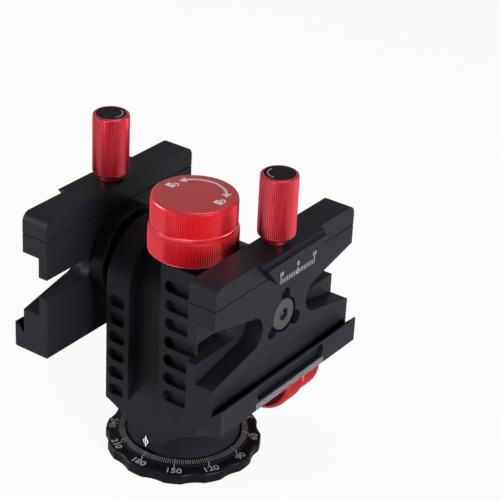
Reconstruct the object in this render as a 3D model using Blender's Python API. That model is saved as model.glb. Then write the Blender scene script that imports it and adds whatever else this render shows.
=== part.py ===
"""Cantilever tripod head: a panning base, a housing with a tilting cross axle, and a dovetail clamp on each end.

X runs along the tilt axle from clamp A to clamp B, Y along the clamps' grooves, and Z up.
Sizes are measured from the pan axis at the base's underside, and the finished head is then set with the middle
of its footprint on the origin. Metres.
"""
import math

import bmesh
import bpy
from mathutils import Vector

# Clearances, shared by every fit
GAP = 0.0003
OVERRUN = 0.0020

# Base: scalloped dial ring, spindle and tripod thread
BASE_RADIUS = 0.0265
BASE_RIM_HEIGHT = 0.0040
BASE_EDGE = 0.0006
BASE_DECK_HEIGHT = 0.0042
BASE_DECK_RADIUS = 0.0224
BASE_COLLAR_STEP = 0.0010
BASE_COLLAR_SLOPE = 0.0006
BASE_WELL_HEIGHT = 0.0038
SCALLOP_DEPTH = 0.0007
SCALLOP_COUNT = 12
SPINDLE_RADIUS = 0.0086
SPINDLE_FLANGE_RADIUS = 0.0140
SPINDLE_FLANGE_HEIGHT = 0.0022
SPINDLE_TOP = 0.0390
SPINDLE_NOSE = 0.0008
THREAD_RADIUS = 0.00476
BUSHING_RADIUS = 0.0062
BUSHING_HEIGHT = 0.0110
BASE_SCREW_COUNT = 3
BASE_SCREW_CIRCLE = 0.0108
BASE_SCREW_RADIUS = 0.00125
BASE_SCREW_HEAD = 0.0022
BASE_SCREW_HEAD_HEIGHT = 0.0012
BASE_SCREW_TOP = 0.0034
THRUST_WASHER_RADIUS = 0.0165
THRUST_WASHER_HEIGHT = 0.0010
PAN_BUSH_WALL = 0.0017
PAN_BUSH_UNDER_LOCK = 0.0007
PAN_BUSH_OVER_LOCK = 0.0043
SPINDLE_SPARE = 0.0007
NUT_RADIUS = 0.0106
NUT_HEIGHT = 0.0030

# Housing: round-topped block on a round foot
AXLE_HEIGHT = 0.0645
HOUSING_HALF_WIDTH = 0.0193
HOUSING_HALF_DEPTH = 0.0188
ROUND_DROP = 0.0025
HOUSING_EDGE = 0.0006
SHOULDER_DROP = 0.0023
SHOULDER_BACK = -0.0020
FOOT_OVERHANG = 0.0004
COVE_RADIUS = 0.0140
COVE_START = 0.0068
COVE_SWEEP = 68
GROOVE_LEFT = -0.0095
GROOVE_RIGHT = 0.0031
GROOVE_DEPTH = 0.0044
GROOVE_BOTTOM = 0.0212
GROOVE_RAMP_TOP = 0.0360
POCKET_DEPTH = 0.0019
POCKET_HEIGHT = 0.0042
POCKET_PITCH = 0.0068
POCKET_LOWEST = 0.0234
POCKET_LEFT_MARGIN = 0.0012
POCKET_LEFT_WEB = 0.0020
POCKET_RIGHT_WEB = 0.0019
POCKET_RIGHT_MARGIN = 0.0020
POCKET_CORNER = 0.0008
POCKET_LEFT_COUNT = 6
POCKET_RIGHT_COUNT = 7

# Tilt axle, its bushes, washers and hubs
AXLE_RADIUS = 0.0066
AXLE_SPIGOT_RADIUS = 0.0048
AXLE_BORE_DEPTH = 0.0110
TILT_BUSH_WALL = 0.0015
TILT_BUSH_LENGTH = 0.0056
TILT_WASHER_RADIUS = 0.0118
TILT_WASHER_THICKNESS = 0.0008
HUB_RADIUS = 0.0120
HUB_FLANGE_RADIUS = 0.0168
HUB_NECK_LENGTH = 0.0015
HUB_LENGTH = 0.0072
HUB_EDGE = 0.0006

# Draw-bolt brakes: two shoes pulled together against their shaft
BRAKE_BORE_RADIUS = 0.0042
BRAKE_SHOE_LENGTH = 0.0104
BRAKE_SHOE_START = 0.0007
BRAKE_SCREW_RADIUS = 0.0020
BRAKE_BORE_REACH = 0.0126
BOSS_RADIUS = 0.0054
BOSS_ROOT = 0.0080
TILT_BORE_TO_BUSH = 0.0004
TILT_SCREW_CLEAR = 0.0013
PAN_SCREW_CLEAR = 0.0014
PAN_LOCK_HEIGHT = 0.0209
TILT_BOSS_RISE = 0.0026
PAN_BOSS_RISE = 0.0037
TILT_KNOB_GAP = 0.0004
PAN_KNOB_GAP = 0.0015

# Lock knobs: two knurled tiers with a waist between
KNOB_LENGTH = 0.0196
KNOB_RADIUS = 0.0145
KNOB_CROWN_RADIUS = 0.0139
KNOB_LOWER_TIER = 0.0090
KNOB_WAIST = 0.0012
KNOB_WAIST_DEPTH = 0.0007
KNOB_EDGE = 0.0010
KNOB_FOOT_EDGE = 0.0018
KNOB_NECK_RADIUS = 0.0046
KNOB_SCREW_DEPTH = 0.0120

# Clamps: thicknesses outwards from the inner face, and heights from the axle
CLAMP_THICKNESS = 0.0101
LIP_DEPTH = 0.0038
CLAMP_HALF_LENGTH = 0.0373
CLAMP_BOTTOM = -0.0256
CLAMP_SPLIT = 0.0171
CLAMP_TOP = 0.0246
CLAMP_EDGE = 0.0009
CLAMP_TOE = 0.0005
FIXED_LIP_TOP = -0.0160
BOW_WALL = 0.0034
BOW_ROUND_RADIUS = 0.0060
BOW_ROUND_CENTRE = 0.0178
BOW_OUTER_HALF = 0.0117
SLOT_HALF = 0.0036
SLOT_ROUND_CENTRE = 0.0200
LIP_RECESS_HALF = 0.0185
LIP_RECESS_HEIGHT = 0.0050
LIP_RECESS_RISE = 0.0034
LIP_RECESS_DEPTH = 0.0020
JAW_LIP_BOTTOM = 0.0156
JAW_LIP_SHOULDER = 0.0016
JAW_LIP_CREST = 0.0236
JAW_LIP_TOP_HALF = 0.0170
JAW_LIP_BOTTOM_HALF = 0.0097
JAW_END_ROUND = 0.0032
CENTRE_SCREW_HEAD = 0.0059
CENTRE_SCREW_HEAD_HEIGHT = 0.0030
CENTRE_SCREW_RADIUS = 0.0026
CENTRE_SCREW_HEX = 0.0023
CENTRE_SCREW_HEX_DEPTH = 0.0020
CENTRE_WASHER_THICKNESS = 0.0008
CENTRE_SCREW_SPARE = 0.0013
PIN_COUNT = 3
PIN_CIRCLE = 0.0076
PIN_RADIUS = 0.0019
PIN_IN_HUB = 0.0032
PIN_IN_CLAMP = 0.0048
SPIGOT_DEPTH = 0.0018
GUIDE_PIN_RADIUS = 0.0015
GUIDE_PIN_SPACING = 0.0250
GUIDE_PIN_BOTTOM = 0.0100
GUIDE_PIN_TOP = 0.0220
SPRING_SPACING = 0.0095
SPRING_RADIUS = 0.0016
SPRING_WIRE = 0.00025
SPRING_BOTTOM = 0.0106
SPRING_TOP = 0.0214
SPRING_TURNS = 5
SPRING_POCKET_RADIUS = 0.0021
CLAMP_SCREW_INSET = 0.0051
CLAMP_SCREW_RADIUS = 0.0025
CLAMP_SCREW_BOTTOM = 0.0106
CLAMP_KNOB_RADIUS = 0.0061
CLAMP_KNOB_BOTTOM = 0.0267
CLAMP_KNOB_TOP = 0.0480
CLAMP_KNOB_CHAMFER = 0.0009
CLAMP_KNOB_NECK = 0.0037
CLAMP_KNOB_NECK_EDGE = 0.0005
CLAMP_KNOB_BORE_TOP = 0.0440
CAP_RADIUS = 0.0047
CAP_THICKNESS = 0.0007

# Worked out from the sizes above
SHOE_RADIUS = BRAKE_BORE_RADIUS - GAP
FOOT_RADIUS = HOUSING_HALF_DEPTH + FOOT_OVERHANG
HOUSING_BASE = BASE_WELL_HEIGHT + GAP + THRUST_WASHER_HEIGHT + GAP
HOUSING_ROUND_HEIGHT = AXLE_HEIGHT - ROUND_DROP
SHOULDER_HEIGHT = HOUSING_ROUND_HEIGHT + HOUSING_HALF_DEPTH - SHOULDER_DROP
POCKET_LEFT_START = POCKET_LEFT_MARGIN - HOUSING_HALF_WIDTH
POCKET_LEFT_END = GROOVE_LEFT - POCKET_LEFT_WEB
POCKET_RIGHT_START = GROOVE_RIGHT + POCKET_RIGHT_WEB
POCKET_RIGHT_END = HOUSING_HALF_WIDTH - POCKET_RIGHT_MARGIN
BASE_WELL_RADIUS = FOOT_RADIUS + GAP
PAN_BUSH_LOWER_TOP = PAN_LOCK_HEIGHT - BRAKE_BORE_RADIUS - PAN_BUSH_UNDER_LOCK
PAN_BUSH_UPPER_BOTTOM = PAN_LOCK_HEIGHT + BRAKE_BORE_RADIUS + PAN_BUSH_OVER_LOCK
PAN_BUSH_UPPER_TOP = SPINDLE_TOP - SPINDLE_SPARE - NUT_HEIGHT - GAP
TILT_LOCK_X = HOUSING_HALF_WIDTH - GAP - TILT_BUSH_LENGTH - TILT_BORE_TO_BUSH - BRAKE_BORE_RADIUS
TILT_LOCK_Y = -AXLE_RADIUS - TILT_SCREW_CLEAR - BRAKE_SCREW_RADIUS
TILT_BOSS_TOP = SHOULDER_HEIGHT + TILT_BOSS_RISE
TILT_KNOB_BOTTOM = TILT_BOSS_TOP + TILT_KNOB_GAP
PAN_LOCK_X = SPINDLE_RADIUS + PAN_SCREW_CLEAR + BRAKE_SCREW_RADIUS
PAN_BOSS_END = HOUSING_HALF_DEPTH + PAN_BOSS_RISE
PAN_KNOB_START = PAN_BOSS_END + PAN_KNOB_GAP
PAN_BORE_RADIUS = SPINDLE_RADIUS + GAP + PAN_BUSH_WALL + GAP
TILT_BORE_RADIUS = AXLE_RADIUS + GAP + TILT_BUSH_WALL + GAP
WASHER_START = HOUSING_HALF_WIDTH + GAP
HUB_START = WASHER_START + TILT_WASHER_THICKNESS + GAP
HUB_END = HUB_START + HUB_LENGTH
CLAMP_INNER = HUB_END + GAP
CLAMP_SEAT = CLAMP_INNER + CLAMP_THICKNESS
CLAMP_LIP = CLAMP_SEAT + LIP_DEPTH
CLAMP_SCREW_AXIS = CLAMP_INNER + CLAMP_SCREW_INSET
AXLE_END = CLAMP_INNER + SPIGOT_DEPTH - GAP
AXLE_BORE_FLOOR = AXLE_END - AXLE_BORE_DEPTH
PIN_START = CLAMP_INNER - PIN_IN_HUB
PIN_END = CLAMP_INNER + PIN_IN_CLAMP
JAW_BOTTOM = CLAMP_SPLIT + GAP
FOOTPRINT_SHIFT = (PAN_KNOB_START + KNOB_LENGTH - CLAMP_HALF_LENGTH) / 2

DIAL = 48
FINE = 36
ROUND = 24
SMALL = 16
TINY = 10
ARC_STEPS = 20
END_STEPS = 8
CORNER_STEPS = 3
HEX = 6
SPRING_SIDES = 4
SPRING_STEPS = 7
SMOOTH_ANGLE = math.radians(35)
SIDES = {"a": -1, "b": 1}

pivots = {}
materials = {}


def clear_scene():
    for item in list(bpy.data.objects):
        bpy.data.objects.remove(item, do_unlink=True)


def make_material(name, color, roughness, metallic):
    material = bpy.data.materials.new(name)
    material.use_nodes = True
    shader = material.node_tree.nodes["Principled BSDF"]
    shader.inputs["Base Color"].default_value = (*color, 1.0)
    shader.inputs["Roughness"].default_value = roughness
    shader.inputs["Metallic"].default_value = metallic
    materials[name] = material


def make_pivot(name, place, parent=None):
    """An empty on a joint's axis; the pieces that move with the joint hang from it."""
    pivot = bpy.data.objects.new(name, None)
    bpy.context.collection.objects.link(pivot)
    pivots[name] = (pivot, Vector(place))
    if parent:
        pivot.parent = pivots[parent][0]
        pivot.location = Vector(place) - pivots[parent][1]
    else:
        pivot.location.y = -FOOTPRINT_SHIFT


def finish_mesh(name, shape):
    bmesh.ops.remove_doubles(shape, verts=shape.verts, dist=GAP / SMALL)
    bmesh.ops.recalc_face_normals(shape, faces=shape.faces)
    mesh = bpy.data.meshes.new(name)
    shape.to_mesh(mesh)
    shape.free()
    mesh.shade_smooth()
    mesh.set_sharp_from_angle(angle=SMOOTH_ANGLE)
    return mesh


def add_piece(name, shape, material, pivot):
    """Makes the object of one piece, with its origin on the pivot that carries it."""
    empty, place = pivots[pivot]
    bmesh.ops.translate(shape, verts=shape.verts, vec=-place)
    piece = bpy.data.objects.new(name, finish_mesh(name, shape))
    bpy.context.collection.objects.link(piece)
    piece.parent = empty
    piece.data.materials.append(materials[material])
    return piece


def boolean(piece, operation, name, shape):
    """Adds a live Boolean of a hidden helper shape to a piece."""
    helper = bpy.data.objects.new(name, finish_mesh(name, shape))
    bpy.context.collection.objects.link(helper)
    helper.location.y = -FOOTPRINT_SHIFT
    helper.hide_render = True
    helper.display_type = "WIRE"
    modifier = piece.modifiers.new(name, "BOOLEAN")
    modifier.operation = operation
    modifier.object = helper


def cut(piece, name, shape):
    boolean(piece, "DIFFERENCE", name, shape)


def fuse(piece, name, shape):
    boolean(piece, "UNION", name, shape)


def axis_point(axis, a, b, along):
    """Places the cross-section point (a, b): axis X takes (y, z), axis Y (x, z) and axis Z (x, y)."""
    if axis == "X":
        return Vector((along, a, b))
    if axis == "Y":
        return Vector((a, along, b))
    return Vector((a, b, along))


def arc(centre, radius, start, end, steps):
    """Points of an arc, with the angles in degrees."""
    points = []
    for index in range(steps + 1):
        angle = math.radians(start + (end - start) * index / steps)
        points.append((centre[0] + radius * math.cos(angle), centre[1] + radius * math.sin(angle)))
    return points


def add_prism(shape, axis, outline, low, high):
    near = [shape.verts.new(axis_point(axis, a, b, low)) for a, b in outline]
    far = [shape.verts.new(axis_point(axis, a, b, high)) for a, b in outline]
    shape.faces.new(near)
    shape.faces.new(list(reversed(far)))
    for index in range(len(outline)):
        after = (index + 1) % len(outline)
        shape.faces.new((near[index], far[index], far[after], near[after]))
    return shape


def add_turned(shape, axis, profile, segments, centre=(0, 0), offset=None):
    """Turns (radius, along) points round an axis; a profile that leaves the axis closes into a ring."""
    rings = []
    for radius, along in profile:
        if radius == 0:
            rings.append([shape.verts.new(axis_point(axis, centre[0], centre[1], along))])
            continue
        ring = []
        for index in range(segments):
            angle = 2 * math.pi * index / segments
            reach = radius - (offset(radius, angle) if offset else 0)
            a = centre[0] + reach * math.cos(angle)
            b = centre[1] + reach * math.sin(angle)
            ring.append(shape.verts.new(axis_point(axis, a, b, along)))
        rings.append(ring)
    pairs = list(zip(rings, rings[1:]))
    if profile[0][0] > 0:
        pairs.append((rings[-1], rings[0]))
    for first, second in pairs:
        for index in range(segments):
            after = (index + 1) % segments
            corners = [first[index % len(first)], first[after % len(first)],
                       second[after % len(second)], second[index % len(second)]]
            face = list(dict.fromkeys(corners))
            if len(face) > 2:
                shape.faces.new(face)
    return shape


def add_rod(shape, axis, radius, low, high, segments, centre=(0, 0)):
    return add_turned(shape, axis, [(0, low), (radius, low), (radius, high), (0, high)], segments, centre)


def add_tube(shape, axis, inner, outer, low, high, segments, centre=(0, 0)):
    profile = [(inner, low), (outer, low), (outer, high), (inner, high)]
    return add_turned(shape, axis, profile, segments, centre)


def chamfered(radius, low, high, edge):
    """Profile of a solid disc or pin with both rims chamfered."""
    return [(0, low), (radius - edge, low), (radius, low + edge), (radius, high - edge), (radius - edge, high),
            (0, high)]


def polar(count, radius, turn=0):
    """Centres of a ring of holes or pins."""
    places = []
    for index in range(count):
        angle = 2 * math.pi * index / count + turn
        places.append((radius * math.cos(angle), radius * math.sin(angle)))
    return places


def scallop(radius, angle):
    """Finger flutes between the numerals, cut only into the rim."""
    if radius < BASE_DECK_RADIUS:
        return 0
    wave = 0.5 - 0.5 * math.cos(SCALLOP_COUNT * angle)
    return SCALLOP_DEPTH * wave ** 2


def make_base_ring():
    step = BASE_DECK_HEIGHT + BASE_COLLAR_STEP
    profile = [
        (SPINDLE_RADIUS + GAP, SPINDLE_FLANGE_HEIGHT + GAP),
        (SPINDLE_FLANGE_RADIUS + GAP, SPINDLE_FLANGE_HEIGHT + GAP),
        (SPINDLE_FLANGE_RADIUS + GAP, 0),
        (BASE_RADIUS - BASE_EDGE, 0),
        (BASE_RADIUS, BASE_EDGE),
        (BASE_RADIUS, BASE_RIM_HEIGHT - BASE_EDGE),
        (BASE_RADIUS - BASE_EDGE, BASE_RIM_HEIGHT),
        (BASE_DECK_RADIUS, BASE_DECK_HEIGHT),
        (BASE_DECK_RADIUS, step),
        (BASE_WELL_RADIUS, step + BASE_COLLAR_SLOPE),
        (BASE_WELL_RADIUS, BASE_WELL_HEIGHT),
        (SPINDLE_RADIUS + GAP, BASE_WELL_HEIGHT),
    ]
    shape = add_turned(bmesh.new(), "Z", profile, DIAL, offset=scallop)
    ring = add_piece("base_ring", shape, "black_anodised", "base")
    holes = bmesh.new()
    for place in polar(BASE_SCREW_COUNT, BASE_SCREW_CIRCLE):
        add_rod(holes, "Z", BASE_SCREW_RADIUS + GAP, GAP, BASE_SCREW_TOP + GAP, TINY, place)
    cut(ring, "base_ring_screw_holes", holes)


def make_pan_spindle():
    bore = BUSHING_RADIUS + GAP
    profile = [
        (0, BUSHING_HEIGHT + GAP),
        (bore, BUSHING_HEIGHT + GAP),
        (bore, 0),
        (SPINDLE_FLANGE_RADIUS, 0),
        (SPINDLE_FLANGE_RADIUS, SPINDLE_FLANGE_HEIGHT),
        (SPINDLE_RADIUS, SPINDLE_FLANGE_HEIGHT),
        (SPINDLE_RADIUS, SPINDLE_TOP - SPINDLE_NOSE),
        (SPINDLE_RADIUS - SPINDLE_NOSE, SPINDLE_TOP),
        (0, SPINDLE_TOP),
    ]
    shape = add_turned(bmesh.new(), "Z", profile, ROUND)
    spindle = add_piece("pan_spindle", shape, "steel", "base")
    holes = bmesh.new()
    sink = BASE_SCREW_HEAD_HEIGHT + GAP
    for place in polar(BASE_SCREW_COUNT, BASE_SCREW_CIRCLE):
        hole = [(0, -OVERRUN), (BASE_SCREW_HEAD + GAP, -OVERRUN), (BASE_SCREW_HEAD + GAP, 0),
                (BASE_SCREW_RADIUS + GAP, sink), (BASE_SCREW_RADIUS + GAP, SPINDLE_FLANGE_HEIGHT + OVERRUN),
                (0, SPINDLE_FLANGE_HEIGHT + OVERRUN)]
        add_turned(holes, "Z", hole, TINY, place)
    cut(spindle, "spindle_screw_holes", holes)


def make_base_fasteners():
    shape = add_tube(bmesh.new(), "Z", THREAD_RADIUS, BUSHING_RADIUS, 0, BUSHING_HEIGHT, SMALL)
    add_piece("tripod_thread_insert", shape, "steel", "base")
    profile = [(0, GAP), (BASE_SCREW_HEAD, GAP), (BASE_SCREW_RADIUS, BASE_SCREW_HEAD_HEIGHT + GAP),
               (BASE_SCREW_RADIUS, BASE_SCREW_TOP), (0, BASE_SCREW_TOP)]
    for number, place in enumerate(polar(BASE_SCREW_COUNT, BASE_SCREW_CIRCLE), 1):
        screw = add_turned(bmesh.new(), "Z", profile, TINY, place)
        add_piece(f"base_screw_{number}", screw, "steel", "base")
    nut = add_tube(bmesh.new(), "Z", SPINDLE_RADIUS + GAP, NUT_RADIUS, PAN_BUSH_UPPER_TOP + GAP,
                   PAN_BUSH_UPPER_TOP + GAP + NUT_HEIGHT, SMALL)
    add_piece("spindle_nut", nut, "steel", "base")
    low = BASE_WELL_HEIGHT + GAP
    washer = add_tube(bmesh.new(), "Z", SPINDLE_RADIUS + GAP, THRUST_WASHER_RADIUS, low,
                      low + THRUST_WASHER_HEIGHT, SMALL)
    add_piece("pan_thrust_washer", washer, "bronze", "base")


def tombstone(half, bottom):
    """Outline in Y and Z: flat flanks under a half round."""
    points = [(-half, bottom)]
    points += arc((0, HOUSING_ROUND_HEIGHT), half, 180, 0, ARC_STEPS)
    points.append((half, bottom))
    return points


def groove_outline():
    """The channel that wraps over the housing, with its floor ramping out at both ends."""
    floor = HOUSING_HALF_DEPTH - GROOVE_DEPTH
    outside = HOUSING_HALF_DEPTH + OVERRUN
    rise = GROOVE_RAMP_TOP - GROOVE_BOTTOM
    ramp = []
    for index in range(CORNER_STEPS + 1):
        share = index / CORNER_STEPS
        inset = GROOVE_DEPTH * math.sin(share * math.pi / 2)
        ramp.append((HOUSING_HALF_DEPTH - inset, GROOVE_BOTTOM + rise * share))
    inner = [(-y, z) for y, z in ramp] + arc((0, HOUSING_ROUND_HEIGHT), floor, 180, 0, ARC_STEPS)
    inner += list(reversed(ramp))
    outer = [(outside, GROOVE_BOTTOM)] + arc((0, HOUSING_ROUND_HEIGHT), outside, 0, 180, ARC_STEPS)
    outer.append((-outside, GROOVE_BOTTOM))
    return inner + outer


def pocket_outline(start, end, middle):
    """A pocket in X and Z, round at its left end and with eased corners at its right."""
    half = POCKET_HEIGHT / 2
    easy = POCKET_CORNER
    points = arc((start + half, middle), half, 270, 90, CORNER_STEPS + 1)
    points += arc((end - easy, middle + half - easy), easy, 90, 0, 1)
    points += arc((end - easy, middle - half + easy), easy, 0, -90, 1)
    return points


def add_pockets(shape, face):
    """Two columns of pockets on the front (face -1) or the back (face 1), where the right column makes room."""
    low = face * (HOUSING_HALF_DEPTH + OVERRUN)
    high = face * (HOUSING_HALF_DEPTH - POCKET_DEPTH)
    for row in range(POCKET_LEFT_COUNT):
        middle = POCKET_LOWEST + row * POCKET_PITCH
        add_prism(shape, "Y", pocket_outline(POCKET_LEFT_START, POCKET_LEFT_END, middle), low, high)
    for row in range(1, POCKET_RIGHT_COUNT + 1):
        middle = POCKET_LOWEST + row * POCKET_PITCH
        near_boss = middle < PAN_LOCK_HEIGHT + BOSS_RADIUS + POCKET_PITCH
        on_roof = middle > HOUSING_ROUND_HEIGHT
        if face > 0 and (near_boss or on_roof):
            continue
        add_prism(shape, "Y", pocket_outline(POCKET_RIGHT_START, POCKET_RIGHT_END, middle), low, high)
    return shape


def cove_ring():
    """What the lathe takes away below the block: a hollow curve from the foot out past the corners."""
    outside = HOUSING_HALF_WIDTH + HOUSING_HALF_DEPTH
    middle = FOOT_RADIUS + COVE_RADIUS
    curve = arc((middle, COVE_START), COVE_RADIUS, 180, 180 - COVE_SWEEP, TINY // 2)
    low = HOUSING_BASE - OVERRUN
    profile = [(FOOT_RADIUS, low)] + curve + [(outside, curve[-1][1]), (outside, low)]
    return add_turned(bmesh.new(), "Z", profile, DIAL)


def make_housing():
    shape = add_prism(bmesh.new(), "X", tombstone(HOUSING_HALF_DEPTH, HOUSING_BASE), -HOUSING_HALF_WIDTH,
                      HOUSING_HALF_WIDTH)
    bmesh.ops.recalc_face_normals(shape, faces=shape.faces)
    rim = [edge for edge in shape.edges if abs(edge.verts[0].co.x - edge.verts[1].co.x) < GAP]
    bmesh.ops.bevel(shape, geom=rim, offset=HOUSING_EDGE, segments=1, affect="EDGES", clamp_overlap=True)
    housing = add_piece("housing", shape, "black_anodised", "pan_axis")
    right = HOUSING_HALF_WIDTH - HOUSING_EDGE
    outline = [(GROOVE_RIGHT, HOUSING_ROUND_HEIGHT), (right, HOUSING_ROUND_HEIGHT), (right, SHOULDER_HEIGHT),
               (GROOVE_RIGHT, SHOULDER_HEIGHT)]
    fuse(housing, "knob_shoulder", add_prism(bmesh.new(), "Y", outline, -HOUSING_HALF_DEPTH, SHOULDER_BACK))
    boss = add_rod(bmesh.new(), "Z", BOSS_RADIUS, AXLE_HEIGHT, TILT_BOSS_TOP, ROUND, (TILT_LOCK_X, TILT_LOCK_Y))
    fuse(housing, "tilt_lock_boss", boss)
    cut(housing, "housing_cove", cove_ring())
    boss = add_rod(bmesh.new(), "Y", BOSS_RADIUS, BOSS_ROOT, PAN_BOSS_END, ROUND, (PAN_LOCK_X, PAN_LOCK_HEIGHT))
    fuse(housing, "pan_lock_boss", boss)
    cut(housing, "housing_groove", add_prism(bmesh.new(), "X", groove_outline(), GROOVE_LEFT, GROOVE_RIGHT))
    cut(housing, "housing_pockets", add_pockets(add_pockets(bmesh.new(), -1), 1))
    reach = HOUSING_HALF_WIDTH + OVERRUN
    cut(housing, "tilt_bore", add_rod(bmesh.new(), "X", TILT_BORE_RADIUS, -reach, reach, ROUND, (0, AXLE_HEIGHT)))
    shaft = add_rod(bmesh.new(), "Z", PAN_BORE_RADIUS, HOUSING_BASE - OVERRUN, AXLE_HEIGHT, ROUND)
    cut(housing, "pan_bore", shaft)
    bore = add_rod(bmesh.new(), "Z", BRAKE_BORE_RADIUS, AXLE_HEIGHT - BRAKE_BORE_REACH, TILT_BOSS_TOP + OVERRUN,
                   SMALL, (TILT_LOCK_X, TILT_LOCK_Y))
    cut(housing, "tilt_lock_bore", bore)
    bore = add_rod(bmesh.new(), "Y", BRAKE_BORE_RADIUS, -BRAKE_BORE_REACH, PAN_BOSS_END + OVERRUN, SMALL,
                   (PAN_LOCK_X, PAN_LOCK_HEIGHT))
    cut(housing, "pan_lock_bore", bore)


def make_bushes():
    inner = SPINDLE_RADIUS + GAP
    outer = inner + PAN_BUSH_WALL
    lower = add_tube(bmesh.new(), "Z", inner, outer, HOUSING_BASE + GAP, PAN_BUSH_LOWER_TOP, SMALL)
    add_piece("pan_bush_lower", lower, "bronze", "pan_axis")
    upper = add_tube(bmesh.new(), "Z", inner, outer, PAN_BUSH_UPPER_BOTTOM, PAN_BUSH_UPPER_TOP, SMALL)
    add_piece("pan_bush_upper", upper, "bronze", "pan_axis")
    inner = AXLE_RADIUS + GAP
    outer = inner + TILT_BUSH_WALL
    for letter, side in SIDES.items():
        start = side * (HOUSING_HALF_WIDTH - GAP)
        end = side * (HOUSING_HALF_WIDTH - GAP - TILT_BUSH_LENGTH)
        shape = add_tube(bmesh.new(), "X", inner, outer, start, end, SMALL, (0, AXLE_HEIGHT))
        add_piece("tilt_bush_" + letter, shape, "bronze", "pan_axis")


def make_tilt_brake():
    centre = (TILT_LOCK_X, TILT_LOCK_Y)
    reach = BOSS_RADIUS
    for name, side, pivot in (("tilt_upper_shoe", 1, "pan_axis"), ("tilt_lower_shoe", -1, "tilt_shoe_axis")):
        start = AXLE_HEIGHT + side * BRAKE_SHOE_START
        end = AXLE_HEIGHT + side * (BRAKE_SHOE_START + BRAKE_SHOE_LENGTH)
        shape = add_tube(bmesh.new(), "Z", BRAKE_SCREW_RADIUS + GAP, SHOE_RADIUS, min(start, end), max(start, end),
                         SMALL, centre)
        shoe = add_piece(name, shape, "bronze", pivot)
        seat = add_rod(bmesh.new(), "X", AXLE_RADIUS + GAP, TILT_LOCK_X - reach, TILT_LOCK_X + reach, ROUND,
                       (0, AXLE_HEIGHT))
        cut(shoe, name + "_seat", seat)
    low = AXLE_HEIGHT - BRAKE_SHOE_START - BRAKE_SHOE_LENGTH
    high = TILT_KNOB_BOTTOM + KNOB_SCREW_DEPTH
    add_piece("tilt_lock_screw", add_rod(bmesh.new(), "Z", BRAKE_SCREW_RADIUS, low, high, SMALL, centre), "steel",
              "tilt_lock_axis")


def make_pan_brake():
    centre = (PAN_LOCK_X, PAN_LOCK_HEIGHT)
    reach = BOSS_RADIUS
    for name, side, pivot in (("pan_rear_shoe", 1, "pan_axis"), ("pan_front_shoe", -1, "pan_shoe_axis")):
        start = side * BRAKE_SHOE_START
        end = side * (BRAKE_SHOE_START + BRAKE_SHOE_LENGTH)
        shape = add_tube(bmesh.new(), "Y", BRAKE_SCREW_RADIUS + GAP, SHOE_RADIUS, min(start, end), max(start, end),
                         SMALL, centre)
        shoe = add_piece(name, shape, "bronze", pivot)
        seat = add_rod(bmesh.new(), "Z", SPINDLE_RADIUS + GAP, PAN_LOCK_HEIGHT - reach, PAN_LOCK_HEIGHT + reach,
                       ROUND)
        cut(shoe, name + "_seat", seat)
    low = -BRAKE_SHOE_START - BRAKE_SHOE_LENGTH
    high = PAN_KNOB_START + KNOB_SCREW_DEPTH
    add_piece("pan_lock_screw", add_rod(bmesh.new(), "Y", BRAKE_SCREW_RADIUS, low, high, SMALL, centre), "steel",
              "pan_lock_axis")


def lock_knob_profile(start, neck_start):
    """Two tiers, the outer one slightly smaller, over a neck, with a blind bore for the screw."""
    top = start + KNOB_LENGTH
    tier = start + KNOB_LOWER_TIER
    waist = KNOB_RADIUS - KNOB_WAIST_DEPTH
    bore = BRAKE_SCREW_RADIUS + GAP
    depth = start + KNOB_SCREW_DEPTH + GAP
    return [
        (0, depth), (bore, depth), (bore, neck_start), (KNOB_NECK_RADIUS, neck_start), (KNOB_NECK_RADIUS, start),
        (KNOB_RADIUS - KNOB_FOOT_EDGE, start), (KNOB_RADIUS, start + KNOB_FOOT_EDGE), (KNOB_RADIUS, tier),
        (waist, tier + KNOB_WAIST_DEPTH), (waist, tier + KNOB_WAIST), (KNOB_CROWN_RADIUS, tier + KNOB_WAIST),
        (KNOB_CROWN_RADIUS, top - KNOB_EDGE), (KNOB_CROWN_RADIUS - KNOB_EDGE, top), (0, top),
    ]


def make_lock_knobs():
    profile = lock_knob_profile(TILT_KNOB_BOTTOM, TILT_BOSS_TOP + GAP)
    shape = add_turned(bmesh.new(), "Z", profile, FINE, (TILT_LOCK_X, TILT_LOCK_Y))
    add_piece("tilt_lock_knob", shape, "red_anodised", "tilt_lock_axis")
    profile = lock_knob_profile(PAN_KNOB_START, PAN_BOSS_END + GAP)
    shape = add_turned(bmesh.new(), "Y", profile, FINE, (PAN_LOCK_X, PAN_LOCK_HEIGHT))
    add_piece("pan_lock_knob", shape, "red_anodised", "pan_lock_axis")


def make_tilt_axle():
    main = WASHER_START + TILT_WASHER_THICKNESS
    bore = CENTRE_SCREW_RADIUS + GAP
    half = [(0, AXLE_BORE_FLOOR), (bore, AXLE_BORE_FLOOR), (bore, AXLE_END), (AXLE_SPIGOT_RADIUS, AXLE_END),
            (AXLE_SPIGOT_RADIUS, main), (AXLE_RADIUS, main)]
    profile = half + [(radius, -along) for radius, along in reversed(half)]
    shape = add_turned(bmesh.new(), "X", profile, ROUND, (0, AXLE_HEIGHT))
    add_piece("tilt_axle", shape, "steel", "tilt_axis")


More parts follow.
